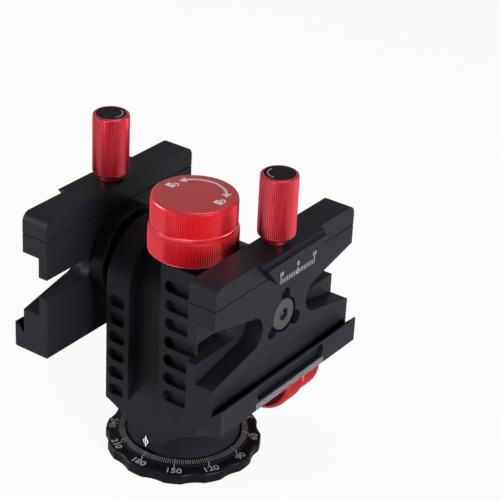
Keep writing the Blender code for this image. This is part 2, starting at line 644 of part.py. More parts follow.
def make_hub(letter, side):
    centre = (0, AXLE_HEIGHT)
    washer = add_tube(bmesh.new(), "X", AXLE_RADIUS + GAP, TILT_WASHER_RADIUS, side * WASHER_START,
                      side * (WASHER_START + TILT_WASHER_THICKNESS), SMALL, centre)
    add_piece("tilt_washer_" + letter, washer, "bronze", "tilt_axis")
    bore = AXLE_SPIGOT_RADIUS + GAP
    shoulder = HUB_START + HUB_NECK_LENGTH
    profile = [(bore, HUB_START), (HUB_RADIUS, HUB_START), (HUB_RADIUS, shoulder),
               (HUB_FLANGE_RADIUS - HUB_EDGE, shoulder), (HUB_FLANGE_RADIUS, shoulder + HUB_EDGE),
               (HUB_FLANGE_RADIUS, HUB_END), (bore, HUB_END)]
    shape = add_turned(bmesh.new(), "X", [(radius, side * along) for radius, along in profile], FINE, centre)
    hub = add_piece("hub_" + letter, shape, "black_anodised", "tilt_axis")
    holes = bmesh.new()
    for y, z in pin_places():
        add_rod(holes, "X", PIN_RADIUS + GAP, side * (PIN_START - GAP), side * (HUB_END + OVERRUN), SMALL,
                (y, AXLE_HEIGHT + z))
    cut(hub, "hub_pin_holes_" + letter, holes)


def pin_places():
    """Three pins round the middle screw, one straight above it."""
    return polar(PIN_COUNT, PIN_CIRCLE, math.pi / 2)


def clamp_section(side):
    """Cross-section of the clamp's body in X and Z, with the fixed jaw's undercut groove at its foot."""
    root = FIXED_LIP_TOP - LIP_DEPTH
    top = AXLE_HEIGHT + CLAMP_SPLIT
    bottom = AXLE_HEIGHT + CLAMP_BOTTOM
    points = [
        (CLAMP_INNER + CLAMP_EDGE, top), (CLAMP_INNER, top - CLAMP_EDGE),
        (CLAMP_INNER, bottom + CLAMP_EDGE), (CLAMP_INNER + CLAMP_EDGE, bottom),
        (CLAMP_LIP - CLAMP_TOE, bottom), (CLAMP_LIP, bottom + CLAMP_TOE),
        (CLAMP_LIP, AXLE_HEIGHT + FIXED_LIP_TOP - CLAMP_TOE),
        (CLAMP_LIP - CLAMP_TOE, AXLE_HEIGHT + FIXED_LIP_TOP - CLAMP_TOE),
        (CLAMP_SEAT, AXLE_HEIGHT + root), (CLAMP_SEAT, top),
    ]
    return [(side * x, z) for x, z in points]


def open_ended_outline(end, round_centre, radius, wide, steps):
    """A cutout in Y and Z: a half round towards the middle and a straight or flared mouth at the clamp's end."""
    outside = end * (CLAMP_HALF_LENGTH + OVERRUN)
    start = 90 * end
    points = arc((end * round_centre, AXLE_HEIGHT), radius, start, start + 180, steps)
    points.append((outside, AXLE_HEIGHT - end * wide))
    points.append((outside, AXLE_HEIGHT + end * wide))
    return points


def recess_outline():
    """The long round-ended recess in the fixed jaw's outer face."""
    half = LIP_RECESS_HEIGHT / 2
    middle = AXLE_HEIGHT + CLAMP_BOTTOM + LIP_RECESS_RISE + half
    points = arc((-LIP_RECESS_HALF + half, middle), half, 270, 90, CORNER_STEPS + 1)
    points += arc((LIP_RECESS_HALF - half, middle), half, 90, -90, CORNER_STEPS + 1)
    return points


def chamfer_end_edges(shape):
    """Eases the upright edges at the two ends of the inner face."""
    bmesh.ops.recalc_face_normals(shape, faces=shape.faces)
    chosen = []
    for edge in shape.edges:
        first, second = (vert.co for vert in edge.verts)
        upright = abs(first.y - second.y) < GAP
        if upright and abs(abs(first.x) - CLAMP_INNER) < GAP and abs(abs(second.x) - CLAMP_INNER) < GAP:
            chosen.append(edge)
    bmesh.ops.bevel(shape, geom=chosen, offset=CLAMP_EDGE, segments=1, affect="EDGES", clamp_overlap=True)


def make_clamp_body(letter, side):
    shape = add_prism(bmesh.new(), "Y", clamp_section(side), -CLAMP_HALF_LENGTH, CLAMP_HALF_LENGTH)
    chamfer_end_edges(shape)
    body = add_piece("clamp_body_" + letter, shape, "black_anodised", "tilt_axis")
    for end in (-1, 1):
        outline = open_ended_outline(end, BOW_ROUND_CENTRE, BOW_ROUND_RADIUS, BOW_OUTER_HALF, END_STEPS)
        bow = add_prism(bmesh.new(), "X", outline, side * (CLAMP_INNER + BOW_WALL), side * (CLAMP_LIP + OVERRUN))
        cut(body, "bow_cutout", bow)
        outline = open_ended_outline(end, SLOT_ROUND_CENTRE, SLOT_HALF, SLOT_HALF, CORNER_STEPS + 1)
        slot = add_prism(bmesh.new(), "X", outline, side * (CLAMP_INNER - OVERRUN), side * (CLAMP_SEAT + OVERRUN))
        cut(body, "wall_slot", slot)
    recess = add_prism(bmesh.new(), "X", recess_outline(), side * (CLAMP_LIP - LIP_RECESS_DEPTH),
                       side * (CLAMP_LIP + OVERRUN))
    cut(body, "lip_recess", recess)
    centre = (0, AXLE_HEIGHT)
    floor = CLAMP_SEAT - CENTRE_SCREW_HEAD_HEIGHT - GAP - CENTRE_WASHER_THICKNESS - GAP
    spigot_end = CLAMP_INNER + SPIGOT_DEPTH
    bore = [(0, CLAMP_INNER - OVERRUN), (AXLE_SPIGOT_RADIUS + GAP, CLAMP_INNER - OVERRUN),
            (AXLE_SPIGOT_RADIUS + GAP, spigot_end), (CENTRE_SCREW_RADIUS + GAP, spigot_end),
            (CENTRE_SCREW_RADIUS + GAP, floor), (CENTRE_SCREW_HEAD + GAP, floor),
            (CENTRE_SCREW_HEAD + GAP, CLAMP_SEAT + OVERRUN), (0, CLAMP_SEAT + OVERRUN)]
    cut(body, "centre_bore", add_turned(bmesh.new(), "X", [(r, side * x) for r, x in bore], SMALL, centre))
    holes = bmesh.new()
    for y, z in pin_places():
        add_rod(holes, "X", PIN_RADIUS + GAP, side * (CLAMP_INNER - OVERRUN), side * (CLAMP_SEAT + OVERRUN),
                SMALL, (y, AXLE_HEIGHT + z))
    cut(body, "pin_holes", holes)
    top = AXLE_HEIGHT + CLAMP_SPLIT + OVERRUN
    axis = side * CLAMP_SCREW_AXIS
    sockets = bmesh.new()
    add_rod(sockets, "Z", CLAMP_SCREW_RADIUS + GAP, AXLE_HEIGHT + CLAMP_SCREW_BOTTOM - GAP, top, SMALL, (axis, 0))
    for y in (-GUIDE_PIN_SPACING, GUIDE_PIN_SPACING):
        add_rod(sockets, "Z", GUIDE_PIN_RADIUS + GAP, AXLE_HEIGHT + GUIDE_PIN_BOTTOM - GAP, top, TINY, (axis, y))
    for y in (-SPRING_SPACING, SPRING_SPACING):
        add_rod(sockets, "Z", SPRING_POCKET_RADIUS, AXLE_HEIGHT + SPRING_BOTTOM - GAP, top, TINY, (axis, y))
    cut(body, "jaw_sockets", sockets)


def jaw_outline():
    """The jaw bar seen from the side, in Y and Z, with rounded upper corners."""
    low = AXLE_HEIGHT + JAW_BOTTOM
    high = AXLE_HEIGHT + CLAMP_TOP
    radius = JAW_END_ROUND
    points = [(-CLAMP_HALF_LENGTH, low)]
    points += arc((-CLAMP_HALF_LENGTH + radius, high - radius), radius, 180, 90, CORNER_STEPS)
    points += arc((CLAMP_HALF_LENGTH - radius, high - radius), radius, 90, 0, CORNER_STEPS)
    points.append((CLAMP_HALF_LENGTH, low))
    return points


def add_jaw_lip(shape, side):
    """The gripping lip: a hooked section whose ends slope in towards its lower edge."""
    root = JAW_LIP_BOTTOM + LIP_DEPTH
    inside = CLAMP_SEAT - OVERRUN
    section = [(inside, CLAMP_TOP), (CLAMP_SEAT + JAW_LIP_SHOULDER, CLAMP_TOP), (CLAMP_LIP, JAW_LIP_CREST),
               (CLAMP_LIP, JAW_LIP_BOTTOM + CLAMP_TOE), (CLAMP_LIP - CLAMP_TOE, JAW_LIP_BOTTOM + CLAMP_TOE),
               (CLAMP_SEAT, root), (inside, root)]
    spread = (JAW_LIP_TOP_HALF - JAW_LIP_BOTTOM_HALF) / (CLAMP_TOP - JAW_LIP_BOTTOM)
    rows = []
    for end in (-1, 1):
        row = []
        for x, z in section:
            reach = JAW_LIP_BOTTOM_HALF + spread * (z - JAW_LIP_BOTTOM)
            row.append(shape.verts.new((side * x, end * reach, AXLE_HEIGHT + z)))
        rows.append(row)
    near, far = rows
    shape.faces.new(near)
    shape.faces.new(list(reversed(far)))
    for index in range(len(section)):
        after = (index + 1) % len(section)
        shape.faces.new((near[index], far[index], far[after], near[after]))
    return shape


def make_moving_jaw(letter, side):
    pivot = "jaw_axis_" + letter
    shape = add_prism(bmesh.new(), "X", jaw_outline(), side * CLAMP_INNER, side * CLAMP_SEAT)
    chamfer_end_edges(shape)
    jaw = add_piece("moving_jaw_" + letter, shape, "black_anodised", pivot)
    fuse(jaw, "jaw_lip", add_jaw_lip(bmesh.new(), side))
    axis = side * CLAMP_SCREW_AXIS
    low = AXLE_HEIGHT + CLAMP_SPLIT - OVERRUN
    holes = bmesh.new()
    add_rod(holes, "Z", CLAMP_SCREW_RADIUS + GAP, low, AXLE_HEIGHT + CLAMP_TOP + OVERRUN, SMALL, (axis, 0))
    for y in (-GUIDE_PIN_SPACING, GUIDE_PIN_SPACING):
        add_rod(holes, "Z", GUIDE_PIN_RADIUS + GAP, low, AXLE_HEIGHT + GUIDE_PIN_TOP + GAP, TINY, (axis, y))
    for y in (-SPRING_SPACING, SPRING_SPACING):
        add_rod(holes, "Z", SPRING_POCKET_RADIUS, low, AXLE_HEIGHT + SPRING_TOP + GAP, TINY, (axis, y))
    cut(jaw, "jaw_holes", holes)
    for end, y in (("front", -GUIDE_PIN_SPACING), ("back", GUIDE_PIN_SPACING)):
        pin = add_rod(bmesh.new(), "Z", GUIDE_PIN_RADIUS, AXLE_HEIGHT + GUIDE_PIN_BOTTOM,
                      AXLE_HEIGHT + GUIDE_PIN_TOP, TINY, (axis, y))
        add_piece(f"guide_pin_{letter}_{end}", pin, "steel", pivot)


def add_spring(shape, centre):
    """A helix of round wire between the floors of its two pockets."""
    low = AXLE_HEIGHT + SPRING_BOTTOM + SPRING_WIRE
    high = AXLE_HEIGHT + SPRING_TOP - SPRING_WIRE
    rings = []
    steps = SPRING_TURNS * SPRING_STEPS
    for index in range(steps + 1):
        share = index / steps
        turn = 2 * math.pi * SPRING_TURNS * share
        ring = []
        for corner in range(SPRING_SIDES):
            bend = 2 * math.pi * corner / SPRING_SIDES
            reach = SPRING_RADIUS - SPRING_WIRE + SPRING_WIRE * math.cos(bend)
            height = low + (high - low) * share + SPRING_WIRE * math.sin(bend)
            ring.append(shape.verts.new((centre[0] + reach * math.cos(turn), centre[1] + reach * math.sin(turn),
                                         height)))
        rings.append(ring)
    for first, second in zip(rings, rings[1:]):
        for corner in range(SPRING_SIDES):
            after = (corner + 1) % SPRING_SIDES
            shape.faces.new((first[corner], first[after], second[after], second[corner]))
    shape.faces.new(rings[0])
    shape.faces.new(list(reversed(rings[-1])))
    return shape


def make_clamp_fittings(letter, side):
    centre = (0, AXLE_HEIGHT)
    head_start = CLAMP_SEAT - CENTRE_SCREW_HEAD_HEIGHT
    washer_start = head_start - GAP - CENTRE_WASHER_THICKNESS
    washer = add_tube(bmesh.new(), "X", CENTRE_SCREW_RADIUS + GAP, CENTRE_SCREW_HEAD, side * washer_start,
                      side * (head_start - GAP), SMALL, centre)
    add_piece("centre_washer_" + letter, washer, "steel", "tilt_axis")
    hex_floor = CLAMP_SEAT - CENTRE_SCREW_HEX_DEPTH
    tip = AXLE_BORE_FLOOR + CENTRE_SCREW_SPARE
    profile = [(0, tip), (CENTRE_SCREW_RADIUS, tip), (CENTRE_SCREW_RADIUS, head_start),
               (CENTRE_SCREW_HEAD, head_start), (CENTRE_SCREW_HEAD, CLAMP_SEAT - CLAMP_TOE),
               (CENTRE_SCREW_HEAD - CLAMP_TOE, CLAMP_SEAT - GAP), (0, CLAMP_SEAT - GAP)]
    shape = add_turned(bmesh.new(), "X", [(r, side * x) for r, x in profile], SMALL, centre)
    screw = add_piece("centre_screw_" + letter, shape, "steel", "tilt_axis")
    socket = add_rod(bmesh.new(), "X", CENTRE_SCREW_HEX, side * hex_floor, side * (CLAMP_SEAT + OVERRUN), HEX,
                     centre)
    cut(screw, "hex_socket_" + letter, socket)
    for number, (y, z) in enumerate(pin_places(), 1):
        pin = add_rod(bmesh.new(), "X", PIN_RADIUS, side * PIN_START, side * PIN_END, SMALL, (y, AXLE_HEIGHT + z))
        add_piece(f"locating_pin_{letter}_{number}", pin, "steel", "tilt_axis")
    for end, y in (("front", -SPRING_SPACING), ("back", SPRING_SPACING)):
        spring = add_spring(bmesh.new(), (side * CLAMP_SCREW_AXIS, y))
        add_piece(f"jaw_spring_{letter}_{end}", spring, "steel", "tilt_axis")


def make_clamp_knob(letter, side):
    pivot = "clamp_knob_axis_" + letter
    centre = (side * CLAMP_SCREW_AXIS, 0)
    low = AXLE_HEIGHT + CLAMP_KNOB_BOTTOM
    top = AXLE_HEIGHT + CLAMP_KNOB_TOP
    neck_low = AXLE_HEIGHT + CLAMP_TOP + GAP
    bore = CLAMP_SCREW_RADIUS + GAP
    ceiling = AXLE_HEIGHT + CLAMP_KNOB_BORE_TOP + GAP
    well = top - CAP_THICKNESS - GAP
    profile = [
        (0, ceiling), (bore, ceiling), (bore, neck_low), (CLAMP_KNOB_NECK, neck_low),
        (CLAMP_KNOB_NECK, low), (CLAMP_KNOB_RADIUS - CLAMP_KNOB_CHAMFER, low),
        (CLAMP_KNOB_RADIUS, low + CLAMP_KNOB_CHAMFER + CLAMP_KNOB_NECK_EDGE),
        (CLAMP_KNOB_RADIUS, top - CLAMP_KNOB_NECK_EDGE), (CLAMP_KNOB_RADIUS - CLAMP_KNOB_NECK_EDGE, top),
        (CAP_RADIUS + GAP, top), (CAP_RADIUS + GAP, well), (0, well),
    ]
    knob = add_turned(bmesh.new(), "Z", profile, ROUND, centre)
    add_piece("clamp_knob_" + letter, knob, "crimson_anodised", pivot)
    cap = add_turned(bmesh.new(), "Z", chamfered(CAP_RADIUS, well + GAP, top, GAP), SMALL, centre)
    add_piece("knob_cap_" + letter, cap, "black_anodised", pivot)
    rod = add_rod(bmesh.new(), "Z", CLAMP_SCREW_RADIUS, AXLE_HEIGHT + CLAMP_SCREW_BOTTOM,
                  AXLE_HEIGHT + CLAMP_KNOB_BORE_TOP, SMALL, centre)
    add_piece("clamp_screw_" + letter, rod, "steel", pivot)


def make_pivots():
    axle = (0, 0, AXLE_HEIGHT)
    make_pivot("base", (0, 0, 0))
    make_pivot("pan_axis", (0, 0, 0), "base")
    make_pivot("tilt_axis", axle, "pan_axis")
    locks = {"tilt": (TILT_LOCK_X, TILT_LOCK_Y, AXLE_HEIGHT), "pan": (PAN_LOCK_X, 0, PAN_LOCK_HEIGHT)}
    for lock, place in locks.items():
        make_pivot(lock + "_lock_axis", place, "pan_axis")
        make_pivot(lock + "_shoe_axis", place, "pan_axis")
    for letter, side in SIDES.items():
        place = (side * CLAMP_SCREW_AXIS, 0, AXLE_HEIGHT + CLAMP_SPLIT)
        make_pivot("jaw_axis_" + letter, place, "tilt_axis")
        make_pivot("clamp_knob_axis_" + letter, place, "jaw_axis_" + letter)


def make_materials():
    make_material("black_anodised", (0.030, 0.031, 0.036), 0.42, 0.6)
    make_material("red_anodised", (0.62, 0.020, 0.025), 0.32, 0.7)
    make_material("crimson_anodised", (0.52, 0.018, 0.040), 0.34, 0.7)
    make_material("steel", (0.55, 0.55, 0.56), 0.30, 1.0)
    make_material("bronze", (0.52, 0.36, 0.16), 0.38, 1.0)


clear_scene()
make_materials()
make_pivots()
make_base_ring()
make_pan_spindle()
make_base_fasteners()
make_housing()
make_bushes()
make_tilt_brake()
make_pan_brake()
make_lock_knobs()
make_tilt_axle()
for label, hand in SIDES.items():
    make_hub(label, hand)
    make_clamp_body(label, hand)
    make_moving_jaw(label, hand)
    make_clamp_fittings(label, hand)
    make_clamp_knob(label, hand)
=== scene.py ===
"""Cantilever tripod head, dressed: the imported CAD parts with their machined, anodised and etched detail."""
import math

import bmesh
import bpy
from mathutils import Matrix, Vector


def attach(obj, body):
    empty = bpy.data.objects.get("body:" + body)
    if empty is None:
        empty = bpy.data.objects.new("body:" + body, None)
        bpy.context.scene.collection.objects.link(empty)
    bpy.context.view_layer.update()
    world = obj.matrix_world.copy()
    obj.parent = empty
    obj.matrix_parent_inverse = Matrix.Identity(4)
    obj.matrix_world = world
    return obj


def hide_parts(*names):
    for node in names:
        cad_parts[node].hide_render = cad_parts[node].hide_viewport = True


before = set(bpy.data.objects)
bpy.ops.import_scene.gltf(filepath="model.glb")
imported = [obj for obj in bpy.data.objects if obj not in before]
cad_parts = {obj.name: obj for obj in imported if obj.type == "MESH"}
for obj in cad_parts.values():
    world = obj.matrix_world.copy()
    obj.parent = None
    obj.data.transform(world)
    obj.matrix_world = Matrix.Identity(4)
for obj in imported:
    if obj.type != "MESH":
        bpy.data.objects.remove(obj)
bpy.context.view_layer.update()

# Studio: a pale floor, a plain pale surround and three soft boxes. The floor and the surround show white to
# the camera, and the floor keeps a shadow. Reflections see less than a third of the surround's white.


class Wire:
    """A node's output that takes part in plain sums; each sum adds a Math node."""

    def __init__(self, recipe, socket):
        self.recipe = recipe
        self.socket = socket

    def math(self, operation, first, second):
        return self.recipe.node("Math", {"operation": operation}, {0: first, 1: second})

    def __add__(self, other):
        return self.math("ADD", self, other)

    def __radd__(self, other):
        return self.math("ADD", other, self)

    def __sub__(self, other):
        return self.math("SUBTRACT", self, other)

    def __rsub__(self, other):
        return self.math("SUBTRACT", other, self)

    def __mul__(self, other):
        return self.math("MULTIPLY", self, other)

    def __rmul__(self, other):
        return self.math("MULTIPLY", other, self)


class Recipe:
    """The node tree of one finish, or of the surround."""

    def __init__(self, owner):
        self.owner = owner
        owner.use_nodes = True
        self.tree = owner.node_tree
        self.tree.nodes.clear()

    def node(self, kind, settings=None, sockets=None, output=0):
        """Adds a node with its settings first, then the values or links of its sockets."""
        added = self.tree.nodes.new("ShaderNode" + kind)
        for key, value in (settings or {}).items():
            setattr(added, key, value)
        for key, value in (sockets or {}).items():
            if isinstance(value, Wire):
                self.tree.links.new(value.socket, added.inputs[key])
            else:
                added.inputs[key].default_value = value
        return Wire(self, added.outputs[output])


surround = Recipe(bpy.data.worlds.new("surround"))
rays = surround.node("LightPath")
glossy_rays = surround.node("LightPath", output="Is Glossy Ray")
clear_rays = surround.node("LightPath", output="Is Transmission Ray")
ambient = surround.node("Background", sockets={"Color": (0.95, 0.96, 1.0, 1), "Strength": 0.06})
white = surround.node("Background", sockets={"Color": (1, 1, 1, 1), "Strength": 1.0})
seen = surround.node("Math", {"operation": "MAXIMUM"}, {0: rays, 1: clear_rays})
seen = surround.node("Math", {"operation": "MAXIMUM"}, {0: seen, 1: glossy_rays * 0.30})
backdrop = surround.node("MixShader", sockets={0: seen, 1: ambient, 2: white})
world_out = surround.tree.nodes.new("ShaderNodeOutputWorld")
surround.tree.links.new(backdrop.socket, world_out.inputs["Surface"])
bpy.context.scene.world = surround.owner
bpy.context.scene.view_settings.view_transform = "Standard"

bpy.ops.object.select_all(action="DESELECT")
bpy.ops.mesh.primitive_plane_add(size=4.0, location=(0, 0, 0))
floor = bpy.context.object
floor.name = "studio_floor"
paper = Recipe(bpy.data.materials.new("white_paper"))
camera_rays = paper.node("LightPath")
matt = paper.node("BsdfDiffuse", sockets={"Color": (0.9, 0.9, 0.9, 1)})
glow = paper.node("Emission", sockets={"Color": (1, 1, 1, 1), "Strength": 1.0})
sheet = paper.node("MixShader", sockets={0: camera_rays * 0.92, 1: matt, 2: glow})
paper_out = paper.tree.nodes.new("ShaderNodeOutputMaterial")
paper.tree.links.new(sheet.socket, paper_out.inputs["Surface"])
floor.data.materials.append(paper.owner)

soft_boxes = [
    ("left_box", (-0.70, -0.42, 0.24), 0.34, 8.0),
    ("right_box", (0.95, -0.22, 0.26), 0.50, 15.0),
    ("top_box", (0.10, 0.20, 1.10), 0.60, 2.0),
]
for box_name, spot, width, power in soft_boxes:
    bpy.ops.object.light_add(type="AREA", location=spot)
    lamp = bpy.context.object
    lamp.name = box_name
    lamp.data.size = width
    lamp.data.energy = power
    lamp.visible_camera = False
    lamp.rotation_euler = (Vector((0, 0, 0.05)) - Vector(spot)).to_track_quat("-Z", "Y").to_euler()

# Camera: a long lens, a little above the head and to its right, rolled by a few degrees as the photograph is.
# Its place was fitted to the dial, the clamps and the housing.

pan_y = -3.15
azimuth, elevation, roll = math.radians(34.70), math.radians(28.33), math.radians(2.92)
camera_distance = 556.05
back = Vector((math.sin(azimuth) * math.cos(elevation), -math.cos(azimuth) * math.cos(elevation),
               math.sin(elevation)))
level = Vector((math.cos(azimuth), math.sin(azimuth), 0))
upright = back.cross(level)
right = level * math.cos(roll) + upright * math.sin(roll)
top = upright * math.cos(roll) - level * math.sin(roll)


def place(x, y, z):
    """A point given in millimetres from the pan axis at the underside, in the frame's metres."""
    return Vector((x, y + pan_y, z)) / 1000


bpy.ops.object.camera_add()
camera = bpy.context.object
camera.name = "photo_camera"
camera.data.lens = 127.35
camera.data.sensor_width = 36.0
camera.data.shift_x = 0.00638
camera.data.shift_y = -0.00654
camera.data.clip_start = 0.01
seat = place(22.465, 0, 83.168) + back * camera_distance / 1000
camera.matrix_world = Matrix.Translation(seat) @ Matrix((right, top, back)).transposed().to_4x4()
bpy.context.scene.camera = camera

# Tripod thread, spindle and the screws of the underside: turned stainless steel. The spindle's flange sits in
# the ring's underside, three countersunk screws hold it there, and the threaded insert is pressed in from
# below.


def finish_of(name, color, second, roughness, metallic, **constant):
    """Starts a finish whose colour drifts between two near tones, and returns what it is still given."""
    recipe = Recipe(bpy.data.materials.new(name))
    where = recipe.node("TexCoord", output="Object")
    drift = recipe.node("TexNoise", sockets={"Vector": where, "Scale": 160.0, "Detail": 3.0})
    tone = recipe.node("Mix", {"data_type": "RGBA"}, {0: drift, 6: (*color, 1), 7: (*second, 1)}, output=2)
    sockets = {"Base Color": tone, "Roughness": drift * 0.10 + (roughness - 0.05), "Metallic": metallic}
    sockets.update(constant)
    return recipe, where, sockets


def close_finish(recipe, sockets, height, strength, depth):
    """Adds the bump and the shader, and returns the material."""
    sockets["Normal"] = recipe.node("Bump", sockets={"Height": height, "Strength": strength, "Distance": depth})
    shader = recipe.node("BsdfPrincipled", sockets=sockets)
    out = recipe.tree.nodes.new("ShaderNodeOutputMaterial")
    recipe.tree.links.new(shader.socket, out.inputs["Surface"])
    return recipe.owner


def turning_marks(recipe, where, centre, axis):
    """Height of the fine rings that a lathe leaves round an axis."""
    rings_per_metre = 5200.0
    arm = recipe.node("VectorMath", {"operation": "SUBTRACT"}, {0: where, 1: place(*centre)})
    across = recipe.node("VectorMath", {"operation": "CROSS_PRODUCT"}, {0: arm, 1: axis})
    radius = recipe.node("VectorMath", {"operation": "LENGTH"}, {0: across}, output="Value")
    along = recipe.node("VectorMath", {"operation": "DOT_PRODUCT"}, {0: arm, 1: axis}, output="Value")
    return recipe.node("TexNoise", {"noise_dimensions": "1D"},
                       {"W": radius * rings_per_metre + along * rings_per_metre, "Scale": 1.0, "Detail": 2.0})


def turned_finish(name, color, second, roughness, metallic, centre, axis, strength=0.25, **constant):
    """A finish with the lathe's rings round an axis."""
    recipe, where, sockets = finish_of(name, color, second, roughness, metallic, **constant)
    rings = turning_marks(recipe, where, centre, axis)
    return close_finish(recipe, sockets, rings, strength, 0.00004)


def pencil(points):
    """Draws a chain of edges by extruding one vertex from point to point, and stays in edit mode."""
    bpy.ops.object.select_all(action="DESELECT")
    bpy.ops.mesh.primitive_plane_add(size=0.001, location=(0, 0, 0))
    bpy.ops.object.mode_set(mode="EDIT")
    bpy.ops.mesh.merge(type="CENTER")
    bpy.ops.transform.translate(value=points[0])
    for last, point in zip(points, points[1:]):
        bpy.ops.mesh.extrude_vertices_move(TRANSFORM_OT_translate={"value": point - last})
    bpy.ops.mesh.select_all(action="SELECT")
    return bpy.context.object


def close_mesh():
    """Merges seams and poles, turns the faces outwards and leaves edit mode."""
    bpy.ops.mesh.select_all(action="SELECT")
    bpy.ops.mesh.remove_doubles(threshold=0.000002)
    bpy.ops.mesh.normals_make_consistent(inside=False)
    bpy.ops.object.mode_set(mode="OBJECT")


def turned(outline, sides=96):
    """Spins a (radius, height) outline in millimetres round the Z axis through the origin."""
    piece = pencil([Vector((radius, 0, height)) / 1000 for radius, height in outline])
    bpy.ops.mesh.spin(steps=sides, angle=2 * math.pi, center=(0, 0, 0), axis=(0, 0, 1), use_auto_merge=True)
    close_mesh()
    return piece


def ring(outline, sides=96):
    """Spins an outline that closes on itself."""
    return turned(outline + outline[:1], sides)


def slab(points, depth):
    """Fills an outline of points in millimetres and extrudes it by a vector in millimetres."""
    piece = pencil([place(*point) for point in points])
    bpy.ops.mesh.edge_face_add()
    bpy.ops.mesh.extrude_region_move(TRANSFORM_OT_translate={"value": Vector(depth) / 1000})
    close_mesh()
    return piece


def set_in(piece, centre, direction=(0, 0, 1)):
    """Lays a piece made along Z in its direction and place, and applies both."""
    turn = Vector((0, 0, 1)).rotation_difference(Vector(direction))
    piece.matrix_world = Matrix.Translation(place(*centre)) @ turn.to_matrix().to_4x4()
    bpy.ops.object.select_all(action="DESELECT")
    piece.select_set(True)
    bpy.context.view_layer.objects.active = piece
    bpy.ops.object.transform_apply(location=True, rotation=True, scale=True)
    return piece


def apply(piece, kind, **settings):
    """Adds a modifier and applies it at once."""
    change = piece.modifiers.new(kind.lower(), kind)
    for key, value in settings.items():
        setattr(change, key, value)
    bpy.context.view_layer.objects.active = piece
    bpy.ops.object.modifier_apply(modifier=change.name)


def carve(piece, tool, operation="DIFFERENCE"):
    """Cuts a tool out of a piece, or joins it on, and takes the tool away."""
    apply(piece, "BOOLEAN", operation=operation, object=tool, solver="EXACT")
    bpy.data.objects.remove(tool, do_unlink=True)


def ready(piece, name, material, body, stands_for=(), edge=0.0, smooth=32):
    """Breaks the sharp edges by edge millimetres, shades the piece, gives it its finish, ties it to its body and
    hides the CAD nodes it stands for.
    """
    bpy.ops.object.select_all(action="DESELECT")
    piece.select_set(True)
    bpy.context.view_layer.objects.active = piece
    if edge:
        bpy.ops.object.mode_set(mode="EDIT")
        bpy.ops.mesh.select_all(action="SELECT")
        bpy.ops.mesh.remove_doubles(threshold=0.00002)
        bpy.ops.object.mode_set(mode="OBJECT")
        apply(piece, "BEVEL", width=edge / 1000, segments=2, limit_method="ANGLE",
              angle_limit=math.radians(smooth))
    bpy.ops.object.shade_smooth_by_angle(angle=math.radians(smooth))
    apply(piece, "WEIGHTED_NORMAL", keep_sharp=True)
    piece.name = name
    piece.data.name = name
    piece.data.materials.clear()
    piece.data.materials.append(material)
    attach(piece, body)
    if stands_for:
        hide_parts(*stands_for)
    return piece


def coat(material, *nodes):
    """Gives the CAD nodes whose own shape is right their finish."""
    for node in nodes:
        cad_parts[node].data.materials.clear()
        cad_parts[node].data.materials.append(material)


steel = turned_finish("turned_steel", (0.52, 0.52, 0.53), (0.60, 0.60, 0.61), 0.30, 1.0, (0, 0, 0), (0, 0, 1))
thread_outline = [(6.2, 0.0), (6.2, 11.0), (4.9, 11.0)]
thread_pitch, thread_root, thread_crest = 1.5875, 4.76, 4.05
for turn in range(6):
    floor_height = 10.4 - turn * thread_pitch
    thread_outline += [(thread_crest, floor_height), (thread_crest, floor_height - 0.2),
                       (thread_root, floor_height - 0.7), (thread_root, floor_height - 0.9)]
thread_outline += [(thread_crest, 0.8), (5.0, 0.0)]
insert = set_in(ring(thread_outline, 72), (0, 0, 0))
ready(insert, "tripod_insert", steel, "base", ["tripod_thread_insert"])
flange = set_in(turned([(0, 11.3), (6.5, 11.3), (6.5, 0.3), (6.8, 0), (13.7, 0), (14, 0.3), (14, 2.2), (8.6, 2.2),
                        (8.6, 38.2), (7.8, 39), (0, 39)]), (0, 0, 0))
screw_circle = 10.8
screw_spots = [(screw_circle * math.cos(step * 2 * math.pi / 3), screw_circle * math.sin(step * 2 * math.pi / 3))
               for step in range(3)]
for x, y in screw_spots:
    sink = turned([(0, -2), (2.5, -2), (2.5, 0), (1.55, 1.5), (1.55, 4.2), (0, 4.2)], 40)
    carve(flange, set_in(sink, (x, y, 0)))
ready(flange, "spindle_with_flange", steel, "base", ["pan_spindle"])
for number, (x, y) in enumerate(screw_spots, 1):
    screw = turned([(0, 0.3), (2.15, 0.3), (2.2, 0.35), (1.25, 1.5), (1.25, 3.4), (0, 3.4)], 40)
    set_in(screw, (x, y, 0))
    carve(screw, set_in(turned([(0, -1), (0.8, -1), (0.8, 1.1), (0, 1.1)], 6), (x, y, 0)))
    ready(screw, f"flange_screw_{number}", steel, "base", [f"base_screw_{number}"])
coat(steel, "spindle_nut")

# Dial ring: black anodised aluminium with a scalloped rim, turned and milled. Its degree marks and numbers
# are laser-etched: fine ticks on the raised collar, a longer one and a number for every 30 degrees.


def black_finish(name):
    """Bead-blasted aluminium, anodised satin black."""
    recipe, where, sockets = finish_of(name, (0.0100, 0.0102, 0.0145), (0.0135, 0.0137, 0.0190), 0.42, 0.0,
                                       **{"Specular IOR Level": 0.10})
    beads = recipe.node("TexNoise", sockets={"Vector": where, "Scale": 5200.0, "Detail": 2.0})
    return close_finish(recipe, sockets, beads, 0.10, 0.00004)


def black_turned(name, centre, axis):
    """Aluminium turned round an axis, anodised satin black."""
    return turned_finish(name, (0.0045, 0.0045, 0.0065), (0.0070, 0.0070, 0.0095), 0.36, 0.0, centre, axis, 0.30,
                         **{"Specular IOR Level": 0.08})


def pick(test):
    """Selects the edited piece's vertices whose place in millimetres passes the test."""
    bpy.ops.mesh.select_all(action="DESELECT")
    mesh = bmesh.from_edit_mesh(bpy.context.object.data)
    for vert in mesh.verts:
        if test(*(vert.co * 1000)):
            vert.select_set(True)
    mesh.select_flush_mode()
    bmesh.update_edit_mesh(bpy.context.object.data)


